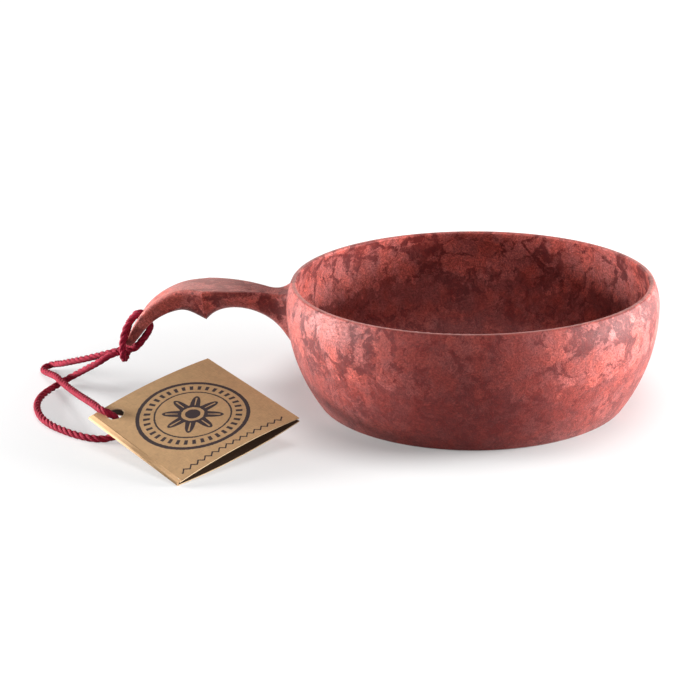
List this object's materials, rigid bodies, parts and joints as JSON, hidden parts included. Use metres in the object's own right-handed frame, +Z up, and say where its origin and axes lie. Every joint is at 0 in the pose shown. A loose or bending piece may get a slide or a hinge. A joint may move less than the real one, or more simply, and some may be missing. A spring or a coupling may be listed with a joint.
{
  "type": "bowl with a handle",
  "caption": "Low round bowl with an arched finger handle, moulded from wood fibre, with a twisted cord hitched through the handle's tip and a folded card tag on the cord.",
  "frame": {"origin": "middle of the foot's flat underside, on the bowl's axis", "axes": "+Z up along the bowl's axis, the handle points along -X, +X out of the far side of the bowl"},
  "size_m": [0.2555, 0.1676, 0.048],
  "materials": {
    "wood_fibre": "red moulded wood-fibre composite, satin, with lighter flakes",
    "cord": "crimson twisted cord",
    "card": "unbleached brown card, printed dark brown"
  },
  "bodies": {
    "bowl": {"bowl": "wood_fibre", "cord_hitch": "cord", "cord_upper_strand": "cord", "cord_lower_strand": "cord", "cord_knot": "cord", "tag_lower_leaf": "card"},
    "tag_leaf": {"tag_upper_leaf": "card"}
  },
  "joints": [
    {"name": "tag_fold", "type": "hinge", "parent": "bowl", "child": "tag_leaf", "pos_m": [-0.12227, -0.075, 0.00541], "axis": [0.7071, -0.6861, -0.1711], "range_deg": [0, 100], "deforming": ["cord_upper_strand"]}
  ]
}
